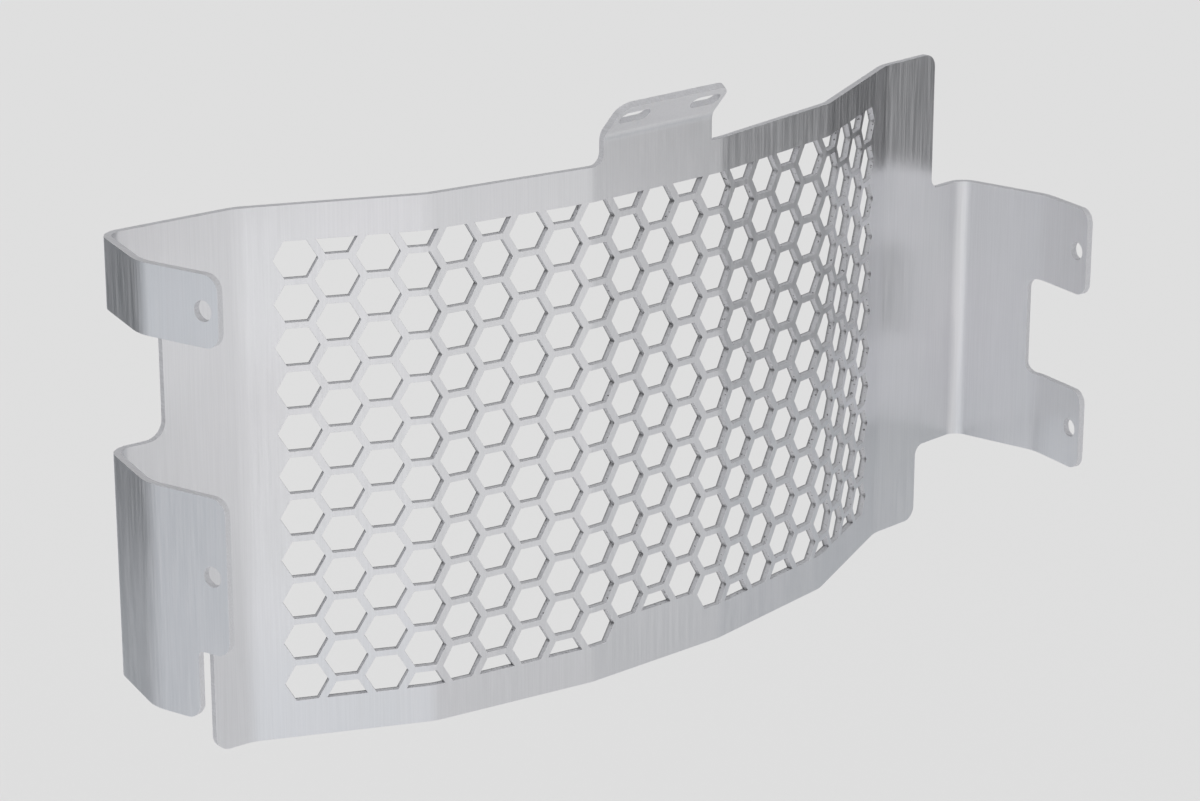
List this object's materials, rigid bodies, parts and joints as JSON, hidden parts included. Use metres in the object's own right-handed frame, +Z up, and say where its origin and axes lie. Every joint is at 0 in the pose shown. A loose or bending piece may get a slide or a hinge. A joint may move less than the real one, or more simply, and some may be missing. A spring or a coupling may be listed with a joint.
{
  "type": "radiator guard",
  "caption": "Folded sheet-metal guard for a motorcycle radiator: a bulged hexagon mesh with two folded side wings, screw ears and a slotted top tab.",
  "frame": {"origin": "on the bottom edge, at the middle of the middle panel's radiator face", "axes": "+X to the right along the middle panel, seen from the radiator; +Y away from the radiator, towards the front wheel; +Z up along the fold lines"},
  "size_m": [0.3902, 0.0616, 0.1972],
  "materials": {
    "sheet": "brushed, with the grain upright"
  },
  "bodies": {
    "root": {"guard_sheet": "sheet"}
  },
  "joints": []
}
